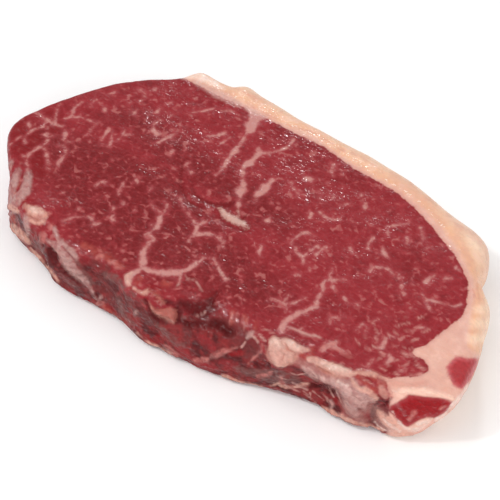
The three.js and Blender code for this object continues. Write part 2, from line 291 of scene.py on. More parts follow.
# Where juice stands on the surface, in strokes of (x, y, width) in points of the picture.
GLOSS = (
    ((67, 241, 3), (72, 244, 4), (78, 246, 4)),
    ((53, 227, 2), (56, 228, 2)),
    ((182, 292, 4), (190, 295, 6), (198, 298, 5)),
    ((204, 300, 3), (208, 301, 3)),
    ((208, 307, 4), (214, 310, 6), (220, 307, 3)),
    ((217, 301, 3), (222, 307, 3), (228, 315, 3)),
    ((196, 315, 3), (206, 317, 3)),
    ((232, 316, 4), (240, 321, 5), (252, 328, 4)),
    ((272, 340, 4), (277, 342, 4)),
    ((286, 343, 3), (292, 346, 3), (299, 349, 3)),
    ((320, 363, 3), (330, 367, 4), (340, 369, 3), (351, 372, 3)),
    ((362, 378, 2), (373, 385, 3)),
    ((384, 379, 3), (389, 381, 3)),
    ((393, 399, 4), (398, 405, 4), (405, 415, 4)),
    ((393, 391, 4), (400, 389, 4), (408, 392, 3)),
    ((424, 386, 3), (432, 388, 3), (438, 392, 3)),
    ((300, 158, 3), (308, 196, 3), (306, 205, 3)),
    ((188, 102, 3), (202, 107, 3)),
    ((339, 170, 2), (344, 173, 2)),
    ((354, 191, 2), (357, 194, 2)),
)

# The tissues of the front side, the narrow end and the fat edge, and painted shade and highlights among them,
# drawn where the photograph shows them, in strokes of (x, y, width) in points of the picture.
MEMBRANE = (
    ((299, 362, 8), (306, 366, 10), (316, 373, 10), (328, 379, 12), (340, 384, 16), (350, 390, 22),
     (358, 396, 24), (366, 402, 18), (370, 408, 10)),
    ((375, 410, 10), (380, 418, 14), (388, 426, 12)),
    ((314, 368, 8), (328, 373, 10), (344, 378, 8)),
    ((344, 402, 8), (350, 410, 12), (358, 416, 12), (364, 422, 8)),
    ((376, 418, 8), (384, 424, 8)),
)
# Painted shade: very dark red in the pits, under the flap and the ridge, and in deep creases of the front
# side and the narrow end.
HOLLOW_SHADE = (
    ((50, 250, 5), (52, 254, 7), (54, 258, 8)),
    ((54, 255, 7), (56, 262, 5)),
    ((62, 267, 4), (66, 272, 6), (72, 276, 6), (78, 281, 4)),
    ((145, 300, 3), (148, 305, 3), (150, 310, 4), (155, 318, 4), (158, 322, 4)),
    ((157, 317, 4), (161, 320, 6), (166, 322, 5)),
    ((166, 302, 4), (171, 302.5, 3), (174, 305, 3)),
    ((177, 308, 5), (180, 311, 6), (178, 316, 5)),
    ((207, 300, 3), (212, 298, 3)),
    ((216, 292, 2), (214, 296, 2), (211, 300, 2), (209, 304, 2)),
    ((213, 321, 6), (214, 321, 6)),
    ((266, 344, 2), (266, 349, 1.5)),
    ((256, 364, 5), (262, 366, 6), (268, 365, 5)),
    ((312, 386, 4), (318, 386, 4), (324, 385, 3), (330, 385, 3)),
    ((328, 392, 4), (333, 391, 4)),
    ((391, 399, 2), (388, 402, 2), (385, 405, 1.5), (380, 406, 1.5)),
)
# Wet, deep red lean, and one stroke of painted shade in a crease.
WET_LEAN_AND_SHADE = (
    ((33, 235, 4), (34, 236, 4)),
    # Painted shade: the dark crease between the skin patch and the knob.
    ((20.5, 206, 1.5), (24, 201.5, 2.5), (29, 199.5, 3), (33, 201, 2)),
    ((60, 286, 3), (66, 292, 3), (75, 297, 3), (88, 301, 3)),
    ((103, 304, 3), (107, 306, 5), (112, 309, 3), (121, 316, 2), (131, 325, 2), (140, 332, 2),
     (156, 344, 2)),
    ((150, 287, 4), (155, 287, 3), (160, 288, 1.5), (166, 288, 1.2), (172, 288, 1)),
    ((158, 336, 4), (155, 339, 5), (162, 343, 5)),
    ((230, 354, 6), (236, 353, 6), (240, 352, 5)),
    ((186, 361, 2), (210, 371, 3), (220, 373.5, 2.5)),
    ((248, 379, 4), (253, 380, 5), (259, 380, 3)),
    ((299, 362, 5), (300, 362, 5)),
    ((337, 399, 6), (341, 404, 6), (344, 409, 4)),
    ((320, 403, 4), (324, 406, 4)),
    ((374, 403, 3), (371, 407, 3), (367, 411, 4), (364, 415, 3), (363, 419, 2)),
)
# The dark pit under the front edge: wet, deep red lean, darkened further by painted shade in the hollow.
PIT_LEAN_AND_SHADE = (
    ((221, 328, 6), (227, 334, 7)),
    ((181, 303, 8), (188, 306, 13), (196, 310, 18), (204, 311, 19), (211, 307, 12)),
    ((190, 318, 8), (200, 322, 9), (210, 326, 8), (222, 329, 7)),
    ((177, 320, 6), (188, 323, 9), (204, 324, 12), (218, 325, 12), (230, 331, 10)),
)
RED_LEAN = (
    ((200, 337, 9), (207, 342, 10), (213, 348, 8)),
    ((176, 346, 5), (186, 353, 7), (198, 362, 7), (214, 368, 6)),
    ((222, 362, 7), (236, 366, 8)),
)
BROWN_LEAN = (
    ((250, 349, 8), (248, 357, 8)),
    ((108, 268, 6), (103, 275, 6), (100, 280, 8), (97, 287, 8)),
    ((104, 288, 8), (110, 291, 8), (112, 297, 7)),
    ((218, 318, 12), (226, 326, 16), (238, 334, 20), (248, 343, 18), (257, 353, 12)),
    ((44, 246, 6), (40, 243, 5)),
    ((62, 276, 9), (68, 282, 9), (75, 284, 8), (82, 288, 8)),
    ((93, 263, 7), (100, 266, 7)),
    ((104, 300, 5), (110, 303, 5), (114, 300, 5)),
    ((128, 293, 3), (130, 298, 3), (133, 302, 4), (140, 303, 3)),
    ((142, 310, 6), (146, 316, 6), (150, 322, 6)),
    ((186, 326, 7), (187, 335, 9), (186, 344, 7)),
    ((250, 340, 5), (256, 346, 7), (258, 352, 5)),
    ((386, 409, 3), (386, 413, 3.5), (385, 418, 3)),
)
DARK_FILM = (
    ((33, 242, 5), (37, 247, 6), (42, 252, 6)),
    ((65, 247, 2.5), (70, 252, 4), (73, 257, 4), (77, 262, 4), (80, 267, 4), (83, 272, 5), (87, 277, 6),
     (91, 281, 5), (94, 284, 3)),
    ((71, 284, 4.5), (72, 285, 4.5)),
    ((108, 275, 8), (114, 278, 9), (119, 282, 8), (124, 287, 5)),
    ((116, 292, 3), (118, 297, 3), (120, 303, 6), (122, 309, 8), (125, 315, 6), (129, 320, 5),
     (132, 323, 4)),
    ((123, 288, 2), (126, 296, 2), (128, 302, 2), (131, 306, 3), (135, 311, 5), (136, 315, 5)),
    ((131, 291, 3), (135, 296, 3), (141, 300, 2), (145, 303, 2)),
    ((150, 318, 2), (154, 323, 3), (160, 328, 5), (165, 333, 7), (170, 338, 7), (176, 343, 6),
     (182, 346, 5)),
    ((182, 317, 2), (188, 319, 2), (195, 320, 2)),
    ((237, 368, 6), (247, 372, 8), (260, 374, 10), (272, 376, 12), (284, 377, 12), (296, 380, 8)),
    ((372, 408, 4), (374, 415, 5), (374, 421, 4)),
)
FILM = (
    ((27, 215, 5), (27, 220, 6), (27.5, 227, 6), (28, 232, 5), (27.5, 236, 3)),
    ((55, 229, 5), (56, 233, 5), (58, 238, 4), (63, 243, 4), (68, 248, 5), (73, 253, 5), (77, 258, 5)),
    ((12, 161, 3), (11, 165, 3.5), (10.5, 169, 2)),
    ((18.5, 171, 5), (17, 176, 7), (14.5, 182, 8), (13, 188, 8), (12.5, 194, 8), (12.5, 200, 8),
     (12, 205, 8)),
    ((28.5, 172, 4), (27.5, 178, 9), (27, 184, 11), (25.5, 189, 11), (22, 194, 10), (18, 199, 9),
     (15, 204, 9)),
    ((10, 214, 2), (14, 212.5, 2.5), (18, 211, 1)),
    ((47, 240, 4), (52, 243, 5), (57, 248, 6), (61, 253, 8), (65, 258, 9)),
    ((58, 244, 4), (60, 249, 6), (62, 254, 9), (66, 260, 12), (70, 266, 12), (74, 271, 9), (79, 276, 8),
     (84, 280, 6), (88, 284, 4), (91, 289, 3), (94, 295, 3), (96, 299, 3)),
    ((101, 297, 5), (99, 299, 3)),
    ((136, 311, 4), (136, 313, 4)),
    ((247, 337, 4), (250, 334, 6), (253, 332, 4)),
    ((302, 367, 3), (306, 371, 4), (311, 375, 4), (316, 377, 4), (322, 379, 3), (328, 381, 5),
     (335, 382, 6), (341, 385, 8), (345, 391, 10), (348, 397, 10), (350, 403, 10), (353, 409, 8),
     (356, 414, 6)),
    ((340, 380, 4), (347, 382, 4), (353, 385, 6), (358, 391, 7), (362, 396, 8), (366, 402, 8),
     (365, 408, 6)),
    ((331, 401, 3), (332, 405, 3), (331, 408, 2)),
)
PALE_FILM = (
    ((304, 367, 3), (318, 376, 4), (330, 380, 5), (340, 384, 8), (348, 391, 10), (356, 398, 10),
     (362, 404, 8)),
    ((352, 378, 5), (358, 386, 6), (366, 394, 6), (374, 400, 5)),
    ((380, 414, 4), (386, 422, 6), (392, 428, 5)),
)
WARM_LEAN = (
    ((13, 218, 7), (14, 221, 5)),
    ((84, 246, 7), (92, 250, 8), (100, 253, 9), (108, 257, 8), (118, 265, 5), (123, 268, 5)),
    ((137, 283, 6), (139, 278, 5)),
    ((156, 292, 5), (157, 293, 5)),
    ((104, 308, 3), (112, 313, 3.5), (120, 318, 3), (128, 324, 3)),
    ((163, 283, 6), (169, 284, 6)),
    ((232, 313, 5), (232, 318, 3), (231, 323, 2)),
    ((245, 317, 3), (246, 320, 3), (244, 325, 2)),
    ((256, 322, 3), (255, 328, 2)),
    ((313, 348, 4), (313, 352, 4), (309, 355, 4), (306, 358, 3), (302, 355, 4)),
    ((230, 378, 3), (236, 379.5, 3), (243, 381, 2.5)),
    ((327, 411, 3), (333, 413, 4)),
    ((356, 377, 2), (360, 379, 3), (364, 382, 4), (367, 385, 3)),
    ((384, 383, 4), (387, 386, 3), (389, 390, 2.5), (391, 394, 2), (392, 398, 2)),
    ((358, 376, 4), (364, 381, 6), (370, 387, 6), (374, 392, 5)),
    ((374, 379, 4), (380, 384, 5)),
    ((377, 386, 3), (376, 390, 3)),
    ((366, 424, 3), (370, 427, 3)),
)
PINK = (
    ((212, 356.5, 4), (217, 354.5, 7), (222, 352.5, 7), (228, 350.5, 5), (236, 348, 2)),
    ((232, 312, 1.5), (231, 318, 2), (229, 324, 1.5)),
    ((237, 314, 1.5), (236, 320, 2)),
    ((243, 317, 1.5), (242, 324, 1.5)),
    ((248, 318, 1.5), (246, 325, 2), (244, 330, 1.5)),
    ((50, 226, 4), (51, 227, 4)),
    ((43, 236, 7), (42, 241, 6)),
    ((97, 257, 4), (103, 256, 5)),
    ((110, 262, 4), (114, 262, 4), (115, 267, 4), (122, 268, 3)),
    ((98, 303, 4), (103, 303, 3)),
    ((166, 346, 4), (170, 349, 6), (174, 353, 5), (177, 355, 3)),
    ((195, 360, 4), (207, 360, 4)),
    ((260, 352, 3), (256, 356, 2), (252, 360, 2), (248.5, 363, 2)),
    ((262, 345, 2), (262, 350, 3)),
    ((258, 376, 4), (263, 375, 3), (270, 374, 4)),
    ((281, 377, 3), (283, 382, 3)),
    ((320, 349.5, 2), (325, 346.5, 4), (330, 344, 5), (334, 342.5, 4), (337, 342, 3)),
    ((334, 349, 2), (339, 349.5, 2), (345, 354.5, 3), (352, 358, 2)),
    ((303, 400, 2), (320, 408, 2), (335, 416, 2), (342, 414, 4), (346, 417, 3)),
    ((381, 388, 7), (385, 393, 8), (387, 396, 6)),
    ((367, 387, 4), (368, 388, 4)),
    ((414, 412, 4), (412, 416, 4), (409, 420, 3)),
    ((440, 409, 3), (445, 406, 3)),
)
FLAP = (
    ((149.5, 302, 2), (152, 308, 3), (156, 311.5, 5), (161, 313, 7), (166, 313, 10), (170, 313.5, 12),
     (172.5, 316, 10), (173.5, 320, 5)),
    ((150, 291, 2), (155, 295, 2), (160, 299, 3), (163, 303, 3)),
)
TAN = (
    ((26, 206, 7), (31, 209, 10), (36, 213, 11), (42, 215, 10), (46, 215, 6)),
    ((13, 227, 6), (18, 232, 8), (24, 237, 8), (29, 242, 5)),
    ((11, 207, 5), (15, 209, 5), (18, 212, 3)),
    ((31, 220, 6), (35, 222, 6), (43, 221, 5)),
    ((30, 249, 3), (35, 253, 3), (40, 259, 3), (50, 270, 2.5), (58, 281, 2.5)),
    ((133, 288, 3), (138, 291, 3), (145, 293, 5), (147, 291, 3)),
    ((137, 333, 2), (146, 341, 2.5), (155, 346, 2.5), (163, 350, 2.5), (170, 353, 2.5)),
    ((223, 376, 4), (228, 377, 3), (240, 382, 2), (250, 384, 2), (262, 386.5, 2)),
    ((271, 386, 3), (278, 384, 2), (281, 386, 2.5), (286, 387.5, 2), (292, 387.5, 2), (298, 387, 2),
     (303, 384.5, 3), (308, 384, 2)),
    ((354, 373, 4), (360, 372, 6), (366, 373, 6), (372, 374, 6), (378, 376, 5), (384, 378, 5),
     (388, 380, 5)),
    ((352, 380, 3), (355, 385, 4), (360, 389, 5), (366, 390, 6), (371, 394, 5), (376, 398, 4)),
    ((378, 412, 6), (386, 420, 10), (394, 427, 8)),
    ((322, 407, 2.5), (334, 413, 4), (346, 419, 5), (358, 424, 5), (370, 427, 5), (382, 430, 5)),
    ((395, 433, 3), (402, 435, 3), (412, 434, 3)),
)
CREAM = (
    ((131, 273, 4), (127, 277, 6), (128, 282, 6), (130, 285, 3)),
    ((274, 337.5, 5), (275, 343, 13), (277, 350, 18), (280, 357, 20), (283, 361, 13)),
    ((284, 342, 9), (291, 346, 12), (298, 349, 9), (305, 350, 5), (309, 350, 3)),
    ((286, 354, 12), (288, 355, 15), (291, 359, 9)),
    ((309, 359, 5), (316, 361, 8), (323, 364, 9), (330, 367, 10), (337, 370, 10), (344, 372, 10),
     (350, 373, 8), (355, 373, 4)),
)
# Darker cream: painted shade on the lower sides of the nodule, the ridge and the knob; the flap's paler rim
# and a pinkish block share its colour.
CREAM_SHADE = (
    ((283, 363, 6), (290, 362, 7), (295, 357, 6), (297, 352, 4)),
    ((266, 348, 3), (268, 355, 4), (272, 362, 4)),
    ((318, 366, 4), (326, 370, 5), (334, 375, 4), (344, 378, 4)),
    ((28, 212, 3), (34, 218, 4), (44, 219, 4)),
    ((150, 304, 1.5), (154, 311, 2.5), (160, 315.5, 3), (167, 319, 3), (173, 322.5, 2)),
    ((380, 387, 5), (384, 392, 7), (386, 396, 5)),
)
# Painted highlight: paler cream on the tops of the nodule, the ridge and the knob.
CREAM_HIGHLIGHT = (
    ((272, 341, 4), (277, 342, 5), (280, 347, 4)),
    ((285, 342, 4), (292, 345, 5), (298, 348, 4)),
    ((322, 362, 3), (330, 366, 5), (338, 368, 5), (346, 371, 4)),
    ((30, 208, 4), (36, 211, 5), (42, 213, 4)),
)
# The raised lip of fat above the second island, painted paler along its crest as a painted highlight.
FAT_LIP_HIGHLIGHT = (
    ((398, 392, 3), (406, 390, 5), (418, 391, 6), (430, 392, 6), (442, 395, 5), (453, 399, 4)),
)
# Painted shade: darker pink under the lip of fat.
FAT_SHADE = (
    ((381, 380, 4), (390, 382, 6), (402, 385, 6), (414, 385, 5), (426, 382, 4)),
)
PALE_CAP = (
    ((184, 77, 4), (194, 75, 7), (204, 78, 8), (214, 83, 6), (222, 88, 3)),
)
GREY_CAP = (
    ((194, 81, 3), (204, 86, 6), (216, 93, 8), (228, 99, 7), (240, 105, 4)),
    ((246, 108, 3), (256, 113, 4), (266, 117, 3)),
)
END_FLECKS = (
    ((402, 352, 2), (406, 355, 2.5), (409, 358, 1.5)),
    ((412, 354, 1.5), (415, 358, 2), (416, 363, 1.5)),
    ((415, 364, 2), (420, 367, 2.5), (425, 370, 2)),
    ((403, 366, 1.5), (406, 370, 2)),
    ((408, 374, 2), (415, 375, 2.5), (422, 374, 2)),
    ((394, 372, 1.5), (399, 376, 2)),
    ((384, 337, 1.5), (386, 342, 2), (383, 346, 1.5)),
    ((388, 333, 1.2), (389, 337, 1.5)),
    ((392, 344, 1.5), (396, 346, 1.5)),
    ((376, 330, 1.5), (379, 334, 1.2)),
    ((366, 348, 1.5), (370, 350, 2)),
    ((397, 326, 1.5), (402, 324, 1.5), (410, 323, 1.2)),
    ((418, 318, 1.5), (424, 316, 1.5)),
    ((405, 330, 1.2), (413, 332, 1.2)),
    ((380, 352, 1.5), (385, 356, 1.5)),
    ((356, 340, 1.2), (360, 344, 1.5)),
    ((412, 341, 1.2), (417, 339, 1.2)),
    ((390, 358, 1.5), (394, 361, 2), (398, 360, 1.2)),
    ((375, 338, 1.5), (378, 341, 1.2)),
    ((372, 346, 1.5), (378, 348, 2.5), (383, 347, 1.2)),
    ((377, 360, 1.5), (380, 358, 2)),
    ((386, 363, 2), (389, 366, 2.5)),
    ((380, 367, 1.5), (385, 371, 2)),
    ((406, 365, 2), (409, 362, 1.5)),
    ((399, 340, 1.5), (404, 338, 1.5)),
    ((402, 346, 1.5), (405, 348, 1.5)),
    ((410, 350, 1.2), (414, 348, 1.5)),
    ((394, 332, 1.5), (398, 335, 1.5)),
    ((404, 318, 1.2), (408, 317, 1.5)),
    ((372, 322, 1.5), (375, 326, 1.5)),
    ((364, 336, 1.5), (367, 339, 1.5)),
    ((415, 328, 1.5), (420, 326, 1.2)),
    ((424, 332, 1.2), (429, 329, 1.5)),
)
# Paler cream on the outside of the fat at the narrow end, where it turns away from the lamps: its own pale
# rind, brightened by painted light.
PALE_RIND_AND_LIGHT = (
    ((478, 309, 8), (489, 307, 9)),
    ((474, 324, 8), (487, 323, 9)),
    ((471, 339, 8), (483, 339, 8)),
    ((468, 238, 3), (475, 245, 5), (481, 252, 4)),
)
VEINS = (
    ((477, 284, 1.4), (478, 292, 2), (480, 300, 1.4)),
    ((473, 288, 1), (475, 298, 1.2), (474, 306, 1)),
    ((474, 269, 1), (477, 275, 1.2)),
    ((236, 88, 1.2), (246, 93, 1.5), (256, 99, 1)),
    ((250, 106, 1), (262, 112, 1.4), (276, 119, 1.4), (292, 127, 1)),
    ((300, 128, 1.2), (315, 134, 1.5), (330, 142, 1.2), (344, 151, 1)),
    ((352, 152, 1), (366, 160, 1.4), (380, 169, 1)),
)
# Fold lines, sunk into the surface and painted darker as painted shade in their grooves.
FOLDS = (
    ((287, 348, 1.4), (284, 354, 1.8), (282, 360, 1.6)),
    ((285, 344, 1), (288, 349, 1.2), (294, 353, 1)),
    ((318, 367, 2), (324, 370, 2), (331, 374, 1.6)),
    ((21, 182, 1.2), (18, 188, 1.4), (15, 193, 1.2)),
    ((26, 214, 1.2), (32, 217, 1.4), (39, 220, 1.4), (46, 219, 1)),
)
STRANDS = (
    ((292, 382, 1), (300, 387, 1.2), (307, 390, 1)),
    ((304, 394, 1), (311, 398, 1), (316, 403, 1)),
    ((313, 391, 1), (319, 396, 1.2), (324, 400, 1)),
    ((320, 392, 1), (327, 398, 1.2), (332, 404, 1)),
    ((336, 391, 1), (339, 397, 1.2), (341, 403, 1)),
    ((285, 385, 1), (293, 389, 1.2), (300, 392, 1)),
    ((276, 376, 1), (283, 379, 1.2), (290, 380, 1)),
    ((156, 301, 1), (161, 305.5, 1)),
    ((196, 316, 1.5), (201, 315.5, 1.2), (205, 313, 1.2), (208, 309, 1.2)),
    ((253, 336, 2), (256, 339, 1.5), (258, 342, 1.5)),
    ((258, 333, 1.5), (262, 338, 1.5), (266, 341, 1.2)),
    ((245, 342, 2), (242, 347, 2)),
    ((264, 329.5, 2), (268.5, 330.5, 1.5), (273, 333, 2)),
    ((290, 372, 1.2), (293, 374, 1.5), (297, 375, 1.5), (302, 374, 1.5), (306, 373, 1.2)),
    ((321, 390, 1), (325, 396, 1), (328, 402, 1)),
    ((328, 386, 1), (331, 392, 1), (334, 397, 1)),
    ((310, 393, 1), (311, 399, 1)),
    ((303, 391, 1), (308, 395, 1)),
    ((358, 376, 1), (364, 378.5, 1), (369, 381.5, 1), (373, 385, 1.2)),
    ((180, 275, 1), (181, 281, 1.2), (177, 286, 1.2), (175, 290, 1)),
    ((185, 276, 1), (188, 280, 1.2), (196, 281, 1), (199, 285, 1), (200, 289, 1), (205, 293, 0.8)),
    ((220, 271, 1.4), (224, 277, 1.4), (227.5, 280, 1)),
    ((288, 327, 1), (293, 329, 1.2), (299, 331, 1.6), (304, 334, 2), (310, 335.5, 1.8), (316, 336, 1.5),
     (321, 338, 1.5)),
)
WHITE_FILM = (
    ((393, 412, 0.8), (396, 418, 1), (400, 423, 1.5), (405, 428, 3), (412, 430, 4), (420, 428, 4),
     (427, 424, 3), (432, 419, 2)),
    ((418, 424, 4), (424, 422, 4), (429, 420, 2)),
    ((375, 422, 1.5), (378, 426, 1.5), (383, 429, 1.5), (390, 431, 2)),
    ((383, 419, 1.2), (388, 424, 1.2), (394, 428, 2), (400, 431, 3)),
    ((436, 420, 4), (441, 416.5, 4), (446, 412, 3), (451, 406, 3), (456, 401, 4), (461, 396, 4),
     (465, 391, 3), (468, 386, 3)),
    ((338, 381, 3), (343, 384, 4), (347, 386, 3)),
)

# The tissues and the painted shade and highlights, from the lowest to the one on top: each one's strokes, its
# colour, how soft its edge is in points of the picture, how far it stands out in plan units, how much it
# covers, and how much of that is patchy.
TISSUES = (
    (BROWN_LEAN, "6b2e2e", 2.6, -0.6, 0.85, 0.3),
    (PIT_LEAN_AND_SHADE, "4d080a", 4.0, -1.2, 0.92, 0.12),
    (WET_LEAN_AND_SHADE, "86161b", 1.8, -0.4, 0.88, 0.3),
    (RED_LEAN, "8d292d", 2.5, 0.4, 0.85, 0.3),
    (MEMBRANE, "a9756e", 3.5, 0.3, 0.88, 0.35),
    (HOLLOW_SHADE, "541416", 2.2, -1.6, 0.88, 0.15),
    (DARK_FILM, "754946", 2.0, 0.35, 0.85, 0.6),
    (FILM, "b38983", 1.6, 0.8, 0.92, 0.45),
    (PALE_FILM, "c99e96", 2.5, 0.4, 0.75, 0.65),
    (WARM_LEAN, "a5483f", 2.2, 0.3, 0.75, 0.6),
    (PINK, "b9706a", 1.6, 0.6, 0.8, 0.5),
    (FLAP, "a85f55", 1.0, 1.8, 0.95, 0.2),
    (TAN, "d09a8a", 1.4, 0.5, 0.9, 0.45),
    (CREAM, "cf9f91", 1.6, 1.2, 0.92, 0.15),
    (CREAM_SHADE, "c08a7c", 2.0, -0.3, 0.7, 0.3),
    (CREAM_HIGHLIGHT, "e4beaf", 2.2, 0.5, 0.85, 0.3),
    (FAT_SHADE, "cf8f80", 3.0, 0, 0.6, 0.3),
    (FAT_LIP_HIGHLIGHT, "ebc3b0", 2.4, 0.7, 0.85, 0.2),
    (PALE_RIND_AND_LIGHT, "f8dcc2", 4.0, 0, 0.5, 0.3),
    (PALE_CAP, "f2dbd0", 3.0, 0, 0.8, 0.3),
    (GREY_CAP, "cfa399", 2.5, 0, 0.75, 0.35),
    (END_FLECKS, "c4877f", 1.3, 0, 0.8, 0.5),
    (VEINS, "cf8c7b", 1.0, -0.2, 0.6, 0.3),
    (FOLDS, "ae6454", 0.9, -0.7, 0.7, 0.2),
    (STRANDS, "c19087", 0.7, 0.15, 0.8, 0.3),
    (WHITE_FILM, "e3c6bb", 1.0, 0.3, 0.85, 0.4),
)
# The front side between those tissues: dull lean, paler and darker in patches.
FRONT_LEAN = ("832a2b", "561a1c")
# The fat edge by how many points of the picture it lies outside the line where it starts to round.
RIND = ((-20, "dcaa9a"), (-3, "dcac9d"), (0, "e2ae95"), (3, "e6b08f"), (9, "e9bc9e"), (20, "edcdb4"))

# A depth that stands for well outside a stroke or tissue.
FAR_OUTSIDE = -50
# How far the edge of a tissue strays, in points of the picture, over short and long stretches.
SHORT_STRAY = 0.9
LONG_STRAY = 1.3
# How lumpy a tissue that stands out is, as a share of its height.
LUMPY = 0.5

# The fine relief of each kind of surface, in plan units: how high its lumps stand, how wide they are, how far
# they are drawn out along the steak (1 is not at all, less is longer), and the noise's seed.
LEAN_RELIEF = ((0.16, 7, 1, 1), (0.1, 2.6, 1, 2))
FAT_RELIEF = ((0.12, 9, 1, 3), (0.05, 3, 1, 4))
POOL_RELIEF = ((0.8, 1.8, 1, 13),)
FRONT_RELIEF = ((0.5, 5.5, 0.6, 5), (0.25, 2.2, 1, 6))
# How far the tendon stands up, and how deep creases, seams and the line along the fat lie.
TENDON_HEIGHT = 0.7
CREASE_DEPTH = 0.6
SEAM_DEPTH = 0.14
FAT_LINE_DEPTH = 0.25

# The studio's lamps: each one's place and size in metres, and its power in watts.
LAMPS = {
    "key": ((-0.3, -0.4, 1.0), 0.8, 3.4),
    "fill": ((0.5, -0.8, 0.5), 0.9, 2.4),
    "side": ((1.1, -0.1, 0.6), 0.8, 4.0),
    "spark": ((-1.2, 2.4, 1.35), 0.27, 16.0),
    "glint": ((-0.42, -0.46, 0.97), 0.1, 2.6),
}
# How bright the white room round them is, and half the floor's side in metres.
ROOM = 0.53
FLOOR = 3


def in_frame(x, y, z):
    """A place of the plan as a point of the frame, in metres."""
    return Vector((x * UNIT, y * UNIT, z * RISE)) - MIDDLE


def camera_axes():
    """The camera's right, its up, and the way from what it looks at back to it."""
    turn, lift = math.radians(AZIMUTH), math.radians(ELEVATION)
    right = Vector((math.cos(turn), math.sin(turn), 0))
    back = Vector((math.sin(turn) * math.cos(lift), -math.cos(turn) * math.cos(lift), math.sin(lift)))
    return right, back.cross(right), back


def in_picture(points):
    """Where the camera sees each point, in points of the picture from its top left corner."""
    right, up, back = (np.array(axis) for axis in camera_axes())
    off = points - np.array(AIM)
    ahead = DISTANCE - off @ back
    return np.stack([HALF + FOCUS * (off @ right) / ahead, HALF - FOCUS * (off @ up) / ahead], axis=1)


def on_top(tree, stroke):
    """A stroke drawn on the cut face as places on the skin, in plan units."""
    eye = AIM + camera_axes()[2] * DISTANCE
    laid = []
    for x, y, width in stroke:
        point = in_frame(x, y, TOP)
        hit = tree.ray_cast(eye, (point - eye).normalized())[0] or tree.find_nearest(point)[0]
        laid.append((*(hit / UNIT), width))
    return laid


def depth_in_strokes(points, strokes):
    """How far each point lies inside the nearest stroke of (place..., width); below 0 outside."""
    depth = np.full(len(points), float(FAR_OUTSIDE))
    for stroke in strokes:
        rows = np.array(stroke, float)
        for start, end in zip(rows, rows[1:]):
            a, span = start[:-1], end[:-1] - start[:-1]
            along = ((points - a) @ span / max(span @ span, 1e-9)).clip(0, 1)
            away = np.linalg.norm(points - a - along[:, None] * span, axis=1)
            depth = np.maximum(depth, (start[-1] + (end[-1] - start[-1]) * along) / 2 - away)
    return depth


def depth_in_area(flat, corners):
    """How far each point of a plane lies inside an outline; below 0 outside."""
    inside = np.zeros(len(flat), bool)
    nearest = np.full(len(flat), 1e9)
    for a, b in zip(corners, corners[1:] + corners[:1]):
        a, b = np.array(a, float), np.array(b, float)
        span = b - a
        along = ((flat - a) @ span / (span @ span)).clip(0, 1)
        nearest = np.minimum(nearest, np.linalg.norm(flat - a - along[:, None] * span, axis=1))
        crosses = (a[1] > flat[:, 1]) != (b[1] > flat[:, 1])
        at = a[0] + (flat[:, 1] - a[1]) * span[0] / (span[1] if span[1] else 1e-9)
        inside ^= crosses & (flat[:, 0] < at)
    return np.where(inside, nearest, -nearest)


def smooth(value, low, high):
    """0 at low, 1 at high, and a soft step between them; high may be the smaller one."""
    t = ((value - low) / (high - low)).clip(0, 1)
    return t * t * (3 - 2 * t)


def crags(points, size, seed):
    """Rough noise of about -1 to 1 at each point, with lumps of that size in plan units."""
    shift = Vector((seed * 17.3, seed * 5.1, seed * 9.7))
    scale = 1 / (size * UNIT)
    return np.array([noise.fractal(Vector(p) * scale + shift, 1.0, 2.0, 3) for p in points])


def lumps(points, relief):
    """The height of a kind of surface's lumps at each point, in plan units."""
    return sum(height * crags(points * (along, 1, 1), size, seed) for height, size, along, seed in relief)


def smoothed_copy(node, name):
    """A closed copy of the CAD skin in even quads, smoothed and split twice, and finer on the front side."""
    cage = bmesh.new()
    cage.from_mesh(node.data)
    bmesh.ops.remove_doubles(cage, verts=cage.verts, dist=1e-6)
    cage.normal_update()
    sole = [f for f in cage.faces if f.normal.z < -0.99 and max(v.co.z for v in f.verts) < 1e-5]
    bmesh.ops.dissolve_faces(cage, faces=sole)
    bmesh.ops.join_triangles(cage, faces=[f for f in cage.faces if len(f.verts) == 3],
                             angle_face_threshold=math.radians(50), angle_shape_threshold=math.radians(60))
    mesh = bpy.data.meshes.new(name)
    cage.to_mesh(mesh)
    cage.free()
    piece = bpy.data.objects.new(name, mesh)
    bpy.context.scene.collection.objects.link(piece)
    split = piece.modifiers.new("split", "SUBSURF")
    split.levels = split.render_levels = 2
    view = bpy.context.evaluated_depsgraph_get()
    piece.data = bpy.data.meshes.new_from_object(piece.evaluated_get(view))
    piece.modifiers.clear()
    piece.data.name = name

    skin = bmesh.new()
    skin.from_mesh(piece.data)
    skin.normal_update()
    front = {e for f in skin.faces if -0.8 < f.normal.z < 0.8 and f.normal.y < -0.15 for e in f.edges}
    bmesh.ops.subdivide_edges(skin, edges=list(front), cuts=1, use_grid_fill=True)
    skin.to_mesh(piece.data)
    skin.free()
    return piece


def skin_arrays(mesh):
    """The skin's points and normals as arrays."""
    points = np.empty(len(mesh.vertices) * 3)
    mesh.vertices.foreach_get("co", points)
    normals = np.empty(len(mesh.vertices) * 3)
    mesh.vertex_normals.foreach_get("vector", normals)
    return points.reshape(-1, 3), normals.reshape(-1, 3)


